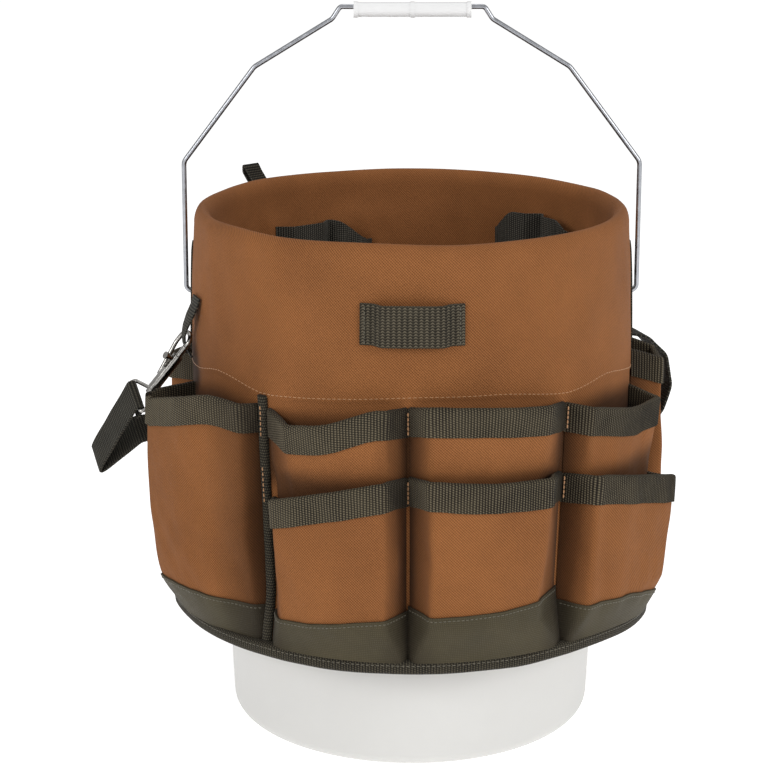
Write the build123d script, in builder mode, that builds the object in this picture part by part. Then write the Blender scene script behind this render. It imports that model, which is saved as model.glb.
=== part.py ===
from build123d import *
import math
import os

os.makedirs("parts", exist_ok=True)

# A tool organizer of cloth on a standard 5-gallon bucket, in millimetres. The origin is the centre of
# the bucket's base, on the floor. +Z is up, and the front faces -Y. Angles round the bucket are in
# degrees from the front, and positive towards +X.

# Bucket
bucket_height = 369.3
base_radius = 131.3
wall = 2.3
wall_top_radius = 146.6
lip_radius = 150.0
lip_depth = 13.3
foot_height = 4.0
foot_width = 5.0
corner_radius = 9.0
rib_heights = (326.0, 341.0)
rib_thickness = 3.0

# Ears and bail
ear_height = 310.0
ear_radius = 10.0
ear_reach = 153.5
ear_root = 143.4
wire_radius = 1.75
bore_clearance = 0.07
bore_bottom = 146.0
bail_half_width = 161.0
bail_end = 147.2
bail_shoulder = (160.6, 403.0)
bail_elbow = (110.0, 469.5)
bail_kink = (55.5, 502.6)
bail_crown = (50.0, 510.95)

# Grip: a loose tube that hangs on the wire, so that its axis is lower than the wire
grip_length = 81.4
grip_radius = 5.1
grip_flange_radius = 5.7
grip_ring_width = 3.0
grip_bore_radius = 3.8
grip_axis_height = bail_crown[1] + wire_radius + 0.05 - grip_bore_radius

# Cloth, webbing and thread
cloth = 1.5
webbing = 1.4
gap = 0.3
hem_bottom = 86.5
hem_top = 96.2
hem_radii = (166.5, 173.6)
pocket_floor = 96.6
seam_height = 272.0
rim_bend = 362.0
rim_top = 373.0
rim_middle_radius = 147.7
rim_half_width = 5.8
inner_skirt_radii = ((215.0, 137.2), (360.6, 142.9))
skirt_radii = ((hem_top + 0.4, 168.5), (130.0, 160.0), (seam_height, 157.0), (320.0, 155.8), (rim_bend, 153.5))
slit_half_width = 5.0
slit_heights = (272.0, 342.0)
binding_width = 4.5
binding = 0.9

# Pockets. A pocket's cloth is a U in plan: two side walls that start at the seams, and a face.
trim_height = 18.0
base_top = 122.0
pleat = 4.2
side_margin = 0.85
divider_margin = 2.6
upper_margin = 1.5
tuck_at_hem = 0.25
floor_thickness = 2.0
panel_slant = 0.10
front_centre = 0.0
back_centre = 189.0
narrow_centre = 91.0
tall_radii = ((pocket_floor, 172.5), (base_top, 181.0), (170.0, 185.5), (232.0, 184.5), (262.0, 183.5))
lower_radii = ((pocket_floor, 172.8), (base_top, 182.5), (165.0, 185.0), (196.0, 184.5), (225.0, 183.5))
upper_radii = ((pocket_floor, 170.6), (135.0, 166.0), (205.0, 171.0), (244.0, 174.5), (270.0, 176.0))
narrow_radii = ((pocket_floor, 171.5), (base_top, 178.0), (170.0, 181.0), (262.0, 179.5))


def polar(angle, radius):
    """A point in plan, from its angle round the bucket and its distance from the axis."""
    turn = math.radians(angle)
    return (radius * math.sin(turn), -radius * math.cos(turn))


def at_height(table, z):
    """The radius at a height, between the rows of a (height, radius) table."""
    for (z_low, r_low), (z_high, r_high) in zip(table, table[1:]):
        if z <= z_high:
            return r_low + (r_high - r_low) * (z - z_low) / (z_high - z_low)
    return table[-1][1]


def seam_angle(angle, centre, z, slant=panel_slant):
    """Panels are cut straight, so that their seams draw together towards the wider hem."""
    drop = (seam_height - z) / (seam_height - hem_top)
    return centre + (angle - centre) * (1 - slant * max(drop, 0))


def side_wall(seam, side, fold, base, face, out):
    """Ends of a side wall in plan, on the base and face circles, moved out from the cloth's surface."""
    start = Vector(*polar(seam, base))
    run = (Vector(*polar(seam + side * fold, face)) - start).normalized()
    moved = start + Vector(run.Y, -run.X) * side * out
    along = moved.dot(run)
    aside = moved.dot(moved) - along**2
    ends = []
    for radius in (base, face + out):
        ends.append(moved + run * (math.sqrt(radius**2 - aside) - along))
    return ends


class Bag:
    """Cloth that stands off the skirt between two seams: side walls that fold over, and a face.

    radii is the face's distance from the axis at each height. swell is what its first corner, its
    middle and its last corner stand further out than that.
    """

    def __init__(self, seams, centre, radii, margins, folds=(pleat, pleat), swell=(0, 0, 0), slant=panel_slant):
        self.seams = seams
        self.centre = centre
        self.radii = radii
        self.margins = margins
        self.folds = folds
        self.swell = swell
        self.slant = slant

    def heights(self, low, high):
        """The heights at which the bag's shape changes, between two others."""
        return [low] + [z for z, _ in self.radii if low + 1 < z < high - 1] + [high]

    def tuck(self, z):
        """How far the side walls are unfolded: they close up towards the hem."""
        return min(1, tuck_at_hem + (1 - tuck_at_hem) * (z - pocket_floor) / (base_top - pocket_floor))

    def face(self, z, place):
        """The face's distance from the axis, at its first corner, middle or last corner."""
        return at_height(self.radii, z) + self.swell[place] * self.tuck(z)

    def walls(self, z, out):
        """Both side walls at a height: seam and face ends of the first, then of the last."""
        base = at_height(skirt_radii, z) + gap
        ends = []
        for index, side in enumerate((1, -1)):
            seam = seam_angle(self.seams[index], self.centre, z, self.slant) + side * self.margins[index]
            ends += side_wall(seam, side, self.folds[index] * self.tuck(z), base, self.face(z, 2 * index), out)
        return ends

    def middle(self, z):
        """The angle half way between the seams at a height."""
        return seam_angle(sum(self.seams) / 2, self.centre, z, self.slant)

    def slice(self, z, low, high):
        """A U of cloth in plan, between two distances from the bag's outer surface."""
        inner = self.walls(z, low)
        outer = self.walls(z, high)
        face = self.face(z, 1)
        middle = self.middle(z)
        with BuildSketch(Plane.XY.offset(z)) as section:
            with BuildLine():
                Line(outer[0], outer[1])
                ThreePointArc(outer[1], polar(middle, face + high), outer[3])
                Line(outer[3], outer[2])
                Line(outer[2], inner[2])
                Line(inner[2], inner[3])
                ThreePointArc(inner[3], polar(middle, face + low), inner[1])
                Line(inner[1], inner[0])
                Line(inner[0], outer[0])
            make_face()
        return section.sketch

    def filled(self, z):
        """The bag's inside in plan, from the skirt to the middle of the cloth."""
        ends = self.walls(z, -cloth / 2)
        base = at_height(skirt_radii, z) + gap
        middle = self.middle(z)
        with BuildSketch(Plane.XY.offset(z)) as section:
            with BuildLine():
                Line(ends[0], ends[1])
                ThreePointArc(ends[1], polar(middle, self.face(z, 1) - cloth / 2), ends[3])
                Line(ends[3], ends[2])
                ThreePointArc(ends[2], polar(middle, base), ends[0])
            make_face()
        return section.sketch


def sector(z, angles, radii):
    """A piece of a ring in plan, at a height."""
    middle = sum(angles) / 2
    with BuildSketch(Plane.XY.offset(z)) as section:
        with BuildLine():
            Line(polar(angles[0], radii[0]), polar(angles[0], radii[1]))
            ThreePointArc(polar(angles[0], radii[1]), polar(middle, radii[1]), polar(angles[1], radii[1]))
            Line(polar(angles[1], radii[1]), polar(angles[1], radii[0]))
            ThreePointArc(polar(angles[1], radii[0]), polar(middle, radii[0]), polar(angles[0], radii[0]))
        make_face()
    return section.sketch


# ---- Bucket ----------------------------------------------------------------------------------------
wall_slope = (wall_top_radius - base_radius) / bucket_height
with BuildPart() as bucket:
    with BuildSketch(Plane.XZ):
        with BuildLine():
            outer_wall = Polyline(
                (0, foot_height),
                (base_radius - corner_radius - foot_width - 4, foot_height),
                (base_radius - corner_radius - foot_width, 0),
                (base_radius - corner_radius, 0),
            )
            corner = ThreePointArc(
                outer_wall @ 1,
                (base_radius - 0.29 * corner_radius, 0.29 * corner_radius),
                (base_radius, corner_radius),
            )
            Polyline(
                corner @ 1,
                (base_radius + wall_slope * (bucket_height - lip_depth), bucket_height - lip_depth),
                (lip_radius, bucket_height - lip_depth),
                (lip_radius, bucket_height),
                (wall_top_radius - wall, bucket_height),
                (base_radius - wall, corner_radius),
                (base_radius - corner_radius, foot_height + wall),
                (0, foot_height + wall),
                (0, foot_height),
            )
        make_face()
    revolve(axis=Axis.Z)
    for height in rib_heights:
        rib_root = base_radius + wall_slope * height - wall / 2
        with BuildSketch(Plane.XZ):
            with BuildLine():
                Polyline(
                    (rib_root, height),
                    (lip_radius - 1, height),
                    (lip_radius - 1, height + rib_thickness),
                    (rib_root, height + rib_thickness),
                    close=True,
                )
            make_face()
        revolve(axis=Axis.Z)
    for side in (-1, 1):
        with BuildSketch(Plane.YZ.offset(side * ear_root)):
            with Locations((0, ear_height)):
                Circle(ear_radius)
        extrude(amount=side * (ear_reach - ear_root))
        with BuildSketch(Plane.YZ.offset(side * bore_bottom)):
            with Locations((0, ear_height)):
                Circle(wire_radius + bore_clearance)
        extrude(amount=side * (ear_reach - bore_bottom), mode=Mode.SUBTRACT)
bucket.part.label = "bucket"
export_step(bucket.part, "parts/bucket.step")

# ---- Bail and grip ---------------------------------------------------------------------------------
bail_half = [
    (bail_end, 0, ear_height),
    (bail_half_width, 0, ear_height),
    (bail_shoulder[0], 0, bail_shoulder[1]),
    (bail_elbow[0], 0, bail_elbow[1]),
    (bail_kink[0], 0, bail_kink[1]),
    (bail_crown[0], 0, bail_crown[1]),
]
bail_mirrored = [(-x, y, z) for x, y, z in reversed(bail_half)]
bail_bends = [4.5, 8, 9, 6, 3.5]
with BuildPart() as bail_wire:
    with BuildLine() as bail_path:
        FilletPolyline(*bail_half, *bail_mirrored, radius=bail_bends + bail_bends[::-1])
    with BuildSketch(Plane(origin=bail_path.line @ 0, z_dir=bail_path.line % 0)):
        Circle(wire_radius)
    sweep()
bail_wire.part.label = "bail_wire"
export_step(bail_wire.part, "parts/bail_wire.step")

with BuildPart() as grip:
    with BuildSketch(Plane.XZ):
        with Locations((0, grip_axis_height)):
            Rectangle(grip_length, grip_radius, align=(Align.CENTER, Align.MIN))
            for centre in (-(grip_length - grip_ring_width) / 2, 0, (grip_length - grip_ring_width) / 2):
                with Locations((centre, 0)):
                    Rectangle(grip_ring_width, grip_flange_radius, align=(Align.CENTER, Align.MIN))
            Rectangle(grip_length, grip_bore_radius, align=(Align.CENTER, Align.MIN), mode=Mode.SUBTRACT)
    revolve(axis=Axis((0, 0, grip_axis_height), (1, 0, 0)))
grip.part.label = "grip"
export_step(grip.part, "parts/grip.step")

# ---- Skirts and their edges ------------------------------------------------------------------------
outer_points = list(skirt_radii)
fold_inner_radius = rim_middle_radius - rim_half_width
with BuildPart() as outer_skirt:
    with BuildSketch(Plane.XZ):
        with BuildLine():
            rise = Polyline(*[(r, z) for z, r in outer_points])
            over = ThreePointArc(rise @ 1, (rim_middle_radius, rim_top), (fold_inner_radius, rim_bend))
            step = Line(over @ 1, (fold_inner_radius + cloth, rim_bend))
            back = ThreePointArc(
                step @ 1,
                (rim_middle_radius, rim_top - cloth),
                (rim_middle_radius + rim_half_width - cloth, rim_bend),
            )
            fall = Polyline(*[(r - cloth, z) for z, r in reversed(outer_points)])
            Line(fall @ 1, rise @ 0)
        make_face()
    revolve(axis=Axis.Z)
    slit_middle = sum(slit_heights) / 2
    slit_height = slit_heights[1] - slit_heights[0]
    for side in (-1, 1):
        with BuildSketch(Plane.YZ.offset(side * ear_root)):
            with Locations((0, slit_middle)):
                RectangleRounded(2 * slit_half_width, slit_height, slit_half_width - 0.5)
        extrude(amount=side * 30, mode=Mode.SUBTRACT)
outer_skirt.part.label = "outer_skirt"
export_step(outer_skirt.part, "parts/outer_skirt.step")

with BuildPart() as inner_skirt:
    (low_z, low_r), (high_z, high_r) = inner_skirt_radii
    with BuildSketch(Plane.XZ):
        with BuildLine():
            Polyline((low_r, low_z), (high_r, high_z), (high_r - cloth, high_z), (low_r - cloth, low_z), close=True)
        make_face()
    revolve(axis=Axis.Z)
inner_skirt.part.label = "inner_skirt"
export_step(inner_skirt.part, "parts/inner_skirt.step")

with BuildPart() as hem_binding:
    with BuildSketch(Plane.XZ):
        with BuildLine():
            Polyline(
                (hem_radii[0], hem_bottom),
                (hem_radii[1], hem_bottom),
                (hem_radii[1], hem_top),
                (hem_radii[0], hem_top),
                close=True,
            )
        make_face()
    revolve(axis=Axis.Z)
hem_binding.part.label = "hem_binding"
export_step(hem_binding.part, "parts/hem_binding.step")

for name, side in (("left", -1), ("right", 1)):
    with BuildPart() as slit_binding:
        with BuildSketch(Plane.XZ):
            with BuildLine():
                low = slit_heights[0] - binding_width - 1
                high = slit_heights[1] + binding_width + 1
                heights = [low] + [z for z, _ in skirt_radii if low < z < high] + [high]
                near = [(at_height(skirt_radii, z) + gap, z) for z in heights]
                far = [(r + binding, z) for r, z in reversed(near)]
                Polyline(*near, *far, close=True)
            make_face()
        revolve(axis=Axis.Z)
        with BuildSketch(Plane.YZ.offset(side * ear_root)):
            with Locations((0, slit_middle)):
                RectangleRounded(
                    2 * (slit_half_width + binding_width),
                    slit_height + 2 * binding_width,
                    slit_half_width + binding_width - 0.5,
                )
                RectangleRounded(2 * slit_half_width, slit_height, slit_half_width - 0.5, mode=Mode.SUBTRACT)
        extrude(amount=side * 30, mode=Mode.INTERSECT)
    slit_binding.part.label = f"slit_binding_{name}"
    export_step(slit_binding.part, f"parts/slit_binding_{name}.step")

# ---- Dividers: folded tape that stands up along a seam -----------------------------------------------
divider_half_angle = 1.2
divider_depth = 3.6
for name, seam, centre in (("front", -40.0, front_centre), ("back", 189.0, back_centre)):
    with BuildPart() as divider:
        levels = []
        for z in (pocket_floor, 130.0, 266.0):
            angle = seam_angle(seam, centre, z)
            root = at_height(skirt_radii, z) + gap
            levels.append(
                sector(z, (angle - divider_half_angle, angle + divider_half_angle), (root, root + divider_depth))
            )
        loft(sections=levels, ruled=True)
    divider.part.label = f"divider_{name}"
    export_step(divider.part, f"parts/divider_{name}.step")

# ---- Pockets ---------------------------------------------------------------------------------------
# Each place round the skirt: seams, panel centre, kind, side margins, folds, swell, rim heights.
# A double place has an upper and a lower bag.
places = [
    ("0", (-80, -40), front_centre, "tall", (side_margin, divider_margin), (pleat, 1.2), (8, 2, -2), (252.5,)),
    ("1", (-40, 0), front_centre, "double", (divider_margin, side_margin), (8, pleat), (-2, 0, 0), (256.0, 211.0)),
    ("2", (0, 40), front_centre, "double", (side_margin, side_margin), (pleat, 5), (0, 1, 1), (264.0, 219.0)),
    ("3", (40, 80), front_centre, "double", (side_margin, side_margin), (3, pleat), (0, 2, 9), (250.0, 203.0)),
    ("4", (83, 99), narrow_centre, "narrow", (side_margin, side_margin), (3, 3), (0, 0.6, 0), (260.0,)),
    ("5", (116, 152.5), back_centre, "double", (side_margin, side_margin), (pleat, pleat), (0, 1, 0), (257.0, 212.0)),
    ("6", (152.5, 189), back_centre, "double", (side_margin, divider_margin), (pleat, pleat), (0, 1, 0), (259.0, 214.0)),
    ("7", (189, 225.5), back_centre, "double", (divider_margin, side_margin), (pleat, pleat), (0, 1, 0), (257.0, 212.0)),
    ("8", (225.5, 262), back_centre, "tall", (side_margin, side_margin), (pleat, pleat), (0, 1, 0), (253.0,)),
]
single_radii = {"tall": tall_radii, "narrow": narrow_radii}


def build_bag(bag, rim, node, floor=True):
    """The bag's cloth, with a floor where it is sewn shut at the hem.

    A lower bag has no floor of its own: it is sewn to the upper bag's bottom.
    """
    with BuildPart() as cloth_bag:
        loft(sections=[bag.slice(z, -cloth, 0) for z in bag.heights(pocket_floor, rim)], ruled=True)
        if floor:
            loft(sections=[bag.filled(z) for z in (pocket_floor, pocket_floor + floor_thickness)], ruled=True)
    cloth_bag.part.label = node
    export_step(cloth_bag.part, f"parts/{node}.step")


def build_trim(bag, rim, node):
    """Webbing folded over the bag's top edge."""
    low, high = rim - trim_height, rim + gap
    with BuildPart() as trim:
        loft(sections=[bag.slice(z, gap, gap + webbing) for z in bag.heights(low, high)], ruled=True)
        loft(sections=[bag.slice(z, -cloth, gap + webbing) for z in (high, high + webbing)], ruled=True)
    trim.part.label = node
    export_step(trim.part, f"parts/{node}.step")


def build_base(bag, node):
    """The coarse strip over the bag's bottom."""
    with BuildPart() as strip:
        loft(sections=[bag.slice(z, gap, gap + webbing) for z in (pocket_floor, base_top)], ruled=True)
    strip.part.label = node
    export_step(strip.part, f"parts/{node}.step")


for number, seams, centre, kind, margins, folds, swell, rims in places:
    if kind == "double":
        upper_margins = [margin + upper_margin for margin in margins]
        upper = Bag(seams, centre, upper_radii, upper_margins, folds, swell)
        lower = Bag(seams, centre, lower_radii, margins, folds, swell)
        build_bag(upper, rims[0], f"pocket_{number}_upper")
        build_trim(upper, rims[0], f"trim_{number}_upper")
        build_bag(lower, rims[1], f"pocket_{number}_lower", floor=False)
        build_trim(lower, rims[1], f"trim_{number}_lower")
        build_base(lower, f"base_{number}")
    else:
        single = Bag(seams, centre, single_radii[kind], margins, folds, swell)
        build_bag(single, rims[0], f"pocket_{number}_{kind}")
        build_trim(single, rims[0], f"trim_{number}_{kind}")
        build_base(single, f"base_{number}")

# ---- Webbing on the outside --------------------------------------------------------------------------
loop_heights = (309.0, 336.0)
front_loop_shape = Bag((-12.7, 11.7), front_centre, ((loop_heights[0], 163.6),), (0, 0), (3.2, 3.2), slant=0)
with BuildPart() as front_loop:
    loft(sections=[front_loop_shape.slice(z, -webbing, 0) for z in loop_heights], ruled=True)
front_loop.part.label = "front_loop"
export_step(front_loop.part, "parts/front_loop.step")


def radial_plane(angle):
    """The upright plane through the bucket's axis at an angle: local x is outwards, y is up."""
    outwards = Vector(*polar(angle, 1))
    return Plane(origin=(0, 0, 0), x_dir=outwards, z_dir=outwards.cross(Vector(0, 0, 1)))


# Bands of webbing that bow out from the skirt: angle round the bucket, width, thickness, route, bends.
# A route is a list of (distance from the axis, height).
bands = (
    ("hammer_loop", 107.0, 38.0, 1.6,
     ((159.6, 271), (178, 267), (193, 252), (198, 229), (190, 206), (161.3, 196)), 14),
    ("back_strap", -134.5, 14.0, 1.4,
     ((157.6, 306), (157.2, 360), (161.0, 385), (165.5, 377), (159.6, 296)), (20, 1.9, 2.1)),
)
for node, angle, width, thickness, route, bends in bands:
    with BuildPart() as band:
        with BuildSketch(radial_plane(angle)):
            with BuildLine() as path:
                FilletPolyline(*route, radius=bends)
            trace(path.line, thickness)
        extrude(amount=width / 2, both=True)
    band.part.label = node
    export_step(band.part, f"parts/{node}.step")

# ---- Loops inside the bucket -------------------------------------------------------------------------
inner_tack = 137.6
inner_bow = 127.5
for name, tacks, low, high in (("left", (192.0, 207.0, 227.0), 300.0, 338.0), ("right", (113.0, 133.0, 151.0), 306.0, 348.0)):
    with BuildPart() as inner_loop:
        with BuildSketch(Plane.XY.offset(low)):
            with BuildLine() as path:
                corners = [polar(tacks[0], inner_tack)]
                for first, last in zip(tacks, tacks[1:]):
                    corners += [polar(first + 4, inner_bow), polar(last - 4, inner_bow), polar(last, inner_tack)]
                FilletPolyline(*corners, radius=2.5)
            trace(path.line, webbing)
        extrude(amount=high - low)
    inner_loop.part.label = f"inner_loop_{name}"
    export_step(inner_loop.part, f"parts/inner_loop_{name}.step")

# ---- Snap tab: a narrow loop of webbing that the hook goes through --------------------------------------
tab_centre = Vector(-157.8, -31.9, 0)
tab_outwards = Vector(*polar(-64.0, 1))
tab_plane = Plane(origin=tab_centre, x_dir=tab_outwards, z_dir=tab_outwards.cross(Vector(0, 0, 1)))
tab_route = ((-3.8, 316), (3.4, 304), (3.9, 281), (-1.8, 269))
tab_width = 6.5
with BuildPart() as snap_tab:
    with BuildSketch(tab_plane):
        with BuildLine() as path:
            FilletPolyline(*tab_route, radius=5)
        trace(path.line, 1.2)
    extrude(amount=tab_width / 2, both=True)
snap_tab.part.label = "snap_tab"
export_step(snap_tab.part, "parts/snap_tab.step")

# ---- Snap hook ---------------------------------------------------------------------------------------
# Local x runs down the snap from its hook to its eye, and local y across it, from spine to bolt.
hook_top = Vector(-155.0, -35.5, 287.0)
snap_down = Vector(-0.62, 0, -0.785).normalized()
snap_face = snap_down.cross(Vector(0.416, -0.848, -0.329)).normalized()
snap_plane = Plane(origin=hook_top, x_dir=snap_down, z_dir=snap_face)
barrel_axis = 4.0
barrel_radius = 3.9
barrel_start = 18.0
barrel_end = 48.0
bolt_bore_end = 43.0
bolt_radius = 2.1
bolt_start = 9.4
bolt_end = 32.0
bolt_travel = 6.0
hook_wire = 1.6
stud_place = 21.6
stud_radius = 1.7
stud_head_radius = 2.6
stud_head_height = 1.6
stud_length = 8.0
neck_radius = 1.65
neck_start = 45.0
neck_end = 51.0
running = 0.07


def across(place, plane=snap_plane):
    """The plane across the snap at a distance down it, centred on the barrel."""
    origin = plane.from_local_coords(Vector(place, barrel_axis, 0))
    return Plane(origin=origin, x_dir=plane.y_dir, z_dir=plane.x_dir)


def stud_plane(height):
    """The plane at a height over the barrel's axis, centred on the thumb stud."""
    return Plane(origin=snap_plane.from_local_coords(Vector(stud_place, barrel_axis, height)), x_dir=snap_down, z_dir=snap_face)


with BuildPart() as snap_body:
    with BuildSketch(across(barrel_start)):
        Circle(barrel_radius)
    extrude(amount=barrel_end - barrel_start)
    with BuildLine(snap_plane) as hook_path:
        FilletPolyline((38, -0.8), (13, -8.5), (1.5, -8.5), (1.5, barrel_axis), (9, barrel_axis), radius=(12, 6.2, 6.2))
    with BuildSketch(Plane(origin=hook_path.line @ 0, z_dir=hook_path.line % 0)):
        Circle(hook_wire)
    sweep(path=hook_path.line)
    with BuildSketch(across(barrel_start)):
        Circle(bolt_radius + running)
    extrude(amount=bolt_bore_end - barrel_start, mode=Mode.SUBTRACT)
    with BuildSketch(across(neck_start - 0.4)):
        Circle(neck_radius + running)
    extrude(amount=barrel_end - neck_start + 1, mode=Mode.SUBTRACT)
    with BuildSketch(stud_plane(0)):
        with Locations((bolt_travel / 2, 0)):
            SlotOverall(bolt_travel + 2 * stud_radius + 0.8, 2 * stud_radius + 0.5)
    extrude(amount=barrel_radius + 1, mode=Mode.SUBTRACT)
snap_body.part.label = "snap_body"
export_step(snap_body.part, "parts/snap_body.step")

with BuildPart() as snap_bolt:
    with BuildSketch(across(bolt_start)):
        Circle(bolt_radius)
    extrude(amount=bolt_end - bolt_start)
    with BuildSketch(stud_plane(0)):
        Circle(stud_radius)
    extrude(amount=stud_length)
    with BuildSketch(stud_plane(stud_length)):
        Circle(stud_head_radius)
    extrude(amount=stud_head_height)
snap_bolt.part.label = "snap_bolt"
export_step(snap_bolt.part, "parts/snap_bolt.step")

# ---- Eye and tape strap ------------------------------------------------------------------------------
eye_wire = 1.4
eye_length = 11.0
eye_width = 29.0
eye_shoulder = 4.5
eye_gap = 1.0
collar_radius = 3.1
collar_length = 3.6
strap_width = 25.0
strap_thickness = 1.6
strap_across = Vector(0.32, -0.80, -0.51).normalized()
neck = across(neck_end).origin
eye_out = Vector(-1, 0.1, -0.1)
eye_out = (eye_out - strap_across * eye_out.dot(strap_across)).normalized()
eye_plane = Plane(origin=neck, x_dir=eye_out, z_dir=eye_out.cross(strap_across))
far_bar = neck + eye_out * eye_length
with BuildPart() as snap_eye:
    with BuildLine(eye_plane) as ring:
        FilletPolyline(
            (0, eye_gap / 2),
            (0, eye_shoulder),
            (eye_length - 4, eye_width / 2),
            (eye_length, eye_width / 2),
            (eye_length, -eye_width / 2),
            (eye_length - 4, -eye_width / 2),
            (0, -eye_shoulder),
            (0, -eye_gap / 2),
            radius=(2, 1.6, 1.6, 1.6, 1.6, 2),
        )
    with BuildSketch(Plane(origin=ring.line @ 0, z_dir=ring.line % 0)):
        Circle(eye_wire)
    sweep(path=ring.line)
    with BuildSketch(across(neck_start)):
        Circle(neck_radius)
    extrude(amount=neck_end - neck_start)
    with BuildSketch(across(barrel_end + 0.6)):
        Circle(collar_radius)
    extrude(amount=collar_length)
snap_eye.part.label = "snap_eye"
export_step(snap_eye.part, "parts/snap_eye.step")

# The strap goes round the eye's far bar, hangs down, turns back and is sewn to the skirt.
strap_down = Vector(-36, 28, -57)
strap_down = (strap_down - strap_across * strap_down.dot(strap_across)).normalized()
strap_plane = Plane(origin=far_bar, x_dir=strap_down, z_dir=strap_across)
strap_bar_gap = 2.7
strap_turn = (73.0, -strap_bar_gap)
strap_rise = (30.0, 16.0)
strap_end = (18.0, 46.0)
with BuildPart() as tape_strap:
    with BuildSketch(strap_plane):
        with BuildLine() as path:
            FilletPolyline(
                (9, strap_bar_gap),
                (-strap_bar_gap, strap_bar_gap),
                (-strap_bar_gap, -strap_bar_gap),
                strap_turn,
                strap_rise,
                strap_end,
                radius=(strap_bar_gap - 0.1, strap_bar_gap - 0.1, 3.5, 8),
            )
        trace(path.line, strap_thickness)
    extrude(amount=strap_width / 2, both=True)
tape_strap.part.label = "tape_strap"
export_step(tape_strap.part, "parts/tape_strap.step")
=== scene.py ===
import math

import bmesh
import bpy
import numpy as np
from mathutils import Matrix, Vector, noise


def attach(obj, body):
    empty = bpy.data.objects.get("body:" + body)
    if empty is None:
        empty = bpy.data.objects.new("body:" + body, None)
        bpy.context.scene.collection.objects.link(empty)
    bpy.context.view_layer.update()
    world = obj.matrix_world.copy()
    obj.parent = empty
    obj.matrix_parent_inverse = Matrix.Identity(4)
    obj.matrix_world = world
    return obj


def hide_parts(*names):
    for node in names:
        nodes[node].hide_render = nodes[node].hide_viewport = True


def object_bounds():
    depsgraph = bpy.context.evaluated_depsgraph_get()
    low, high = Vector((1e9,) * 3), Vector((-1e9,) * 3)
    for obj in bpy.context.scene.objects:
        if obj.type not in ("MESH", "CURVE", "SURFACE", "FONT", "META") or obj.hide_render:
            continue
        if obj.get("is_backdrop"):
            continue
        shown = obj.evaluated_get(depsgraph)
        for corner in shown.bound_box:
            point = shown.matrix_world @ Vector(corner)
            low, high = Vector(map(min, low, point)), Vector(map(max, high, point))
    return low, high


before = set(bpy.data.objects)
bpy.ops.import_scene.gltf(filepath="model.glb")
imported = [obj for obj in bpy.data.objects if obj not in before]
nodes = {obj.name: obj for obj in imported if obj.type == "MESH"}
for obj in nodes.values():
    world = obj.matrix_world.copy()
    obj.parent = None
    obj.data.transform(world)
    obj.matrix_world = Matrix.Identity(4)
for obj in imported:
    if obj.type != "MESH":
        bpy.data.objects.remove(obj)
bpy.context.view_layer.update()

# ---- Dimensions, in millimetres and degrees ----
to_metres = 0.001
cloth = 1.5
webbing = 1.4
gap = 0.3
hem_bottom = 86.5
seam_foot = 96.2
pocket_floor = 96.6
base_top = 122.0
seam_height = 272.0
rim_bend = 362.0
rim_top = 373.0
rim_middle_radius = 147.7
rim_half_width = 5.8
trim_height = 18.3
rib_pitch = 2.0
rib_rise = 0.12
slit_low = 272.0
slit_high = 342.0
slit_half_width = 5.0
slit_middle = (slit_low + slit_high) / 2
slit_straight = (slit_high - slit_low) / 2 - slit_half_width
slit_radius = 156.5
binding_width = 4.5

# Pleats at the pockets' sides, and the margins between their seams, in degrees round the bucket.
pleat = 4.2
side_margin = 0.4
divider_margin = 1.8
upper_margin = 1.3
# How much of a pleat is left at the hem, and how far the seams draw together towards it, as shares.
tuck_at_hem = 0.25
panel_slant = 0.10

# Each surface's distance from the axis by height.
skirt_radii = ((96.6, 168.5), (130, 160), (272, 157), (320, 155.8), (362, 153.5))
inner_radii = ((215, 137.2), (360.6, 142.9))
tall_radii = ((96.6, 172.5), (122, 181), (170, 185.5), (232, 184.5), (262, 183.5))
lower_radii = ((96.6, 172.8), (122, 182.5), (165, 185), (196, 184.5), (225, 183.5))
upper_radii = ((96.6, 170.6), (135, 166), (205, 171), (244, 174.5), (270, 176))
narrow_radii = ((96.6, 171.5), (122, 178), (170, 181), (262, 179.5))

# The seam under the upper panel rises and falls round the skirt: angle, height.
seam_line = (
    (-180, 268), (-120, 266), (-83, 262), (-71, 264), (-58, 272), (-48, 269), (-41, 264), (-21, 268),
    (0, 272), (23, 271), (41, 264), (57, 270), (75, 261), (83, 257), (120, 266), (180, 268),
)


def polar(angle, radius, z):
    """A point from its angle round the bucket, its distance from the axis and its height."""
    turn = np.radians(angle)
    sides = np.broadcast_arrays(radius * np.sin(turn), -radius * np.cos(turn), z)
    return np.stack(sides, axis=-1).astype(float)


def at_height(table, z):
    """The radius at a height, rounded off where the rows of a (height, radius) table meet."""
    heights, radii = zip(*table)
    total = 0.0
    for shift, weight in ((-9, 0.1), (-4.5, 0.2), (0, 0.4), (4.5, 0.2), (9, 0.1)):
        total = total + weight * np.interp(np.asarray(z, float) + shift, heights, radii)
    return total


def ease(value):
    """Rises smoothly from 0 to 1 as the value does."""
    value = np.clip(value, 0, 1)
    return value * value * (3 - 2 * value)


def rumple(a, b, seed):
    """Smooth random numbers, roughly from -1 to 1, over two arrays of the same shape."""
    flat = [noise.noise(Vector((x, y, seed))) for x, y in zip(np.ravel(a), np.ravel(b))]
    return np.array(flat).reshape(np.shape(a)) * 1.6


def angle_of(points):
    """The angle of points round the bucket, from the front and positive towards +X."""
    return np.degrees(np.arctan2(points[..., 0], -points[..., 1]))


def outward(points):
    """Level unit vectors at points, straight out from the bucket's axis."""
    level = points * (1, 1, 0)
    return level / np.linalg.norm(level, axis=-1, keepdims=True)


def run_along(line):
    """The distance of each point along a line of points."""
    return np.concatenate([[0], np.cumsum(np.linalg.norm(np.diff(line, axis=0), axis=1))])


def evenly(line, places, runs):
    """Points at given distances along a line of points whose own distances are runs."""
    return np.stack([np.interp(places, runs, line[:, k]) for k in range(line.shape[1])], axis=-1)


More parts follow.
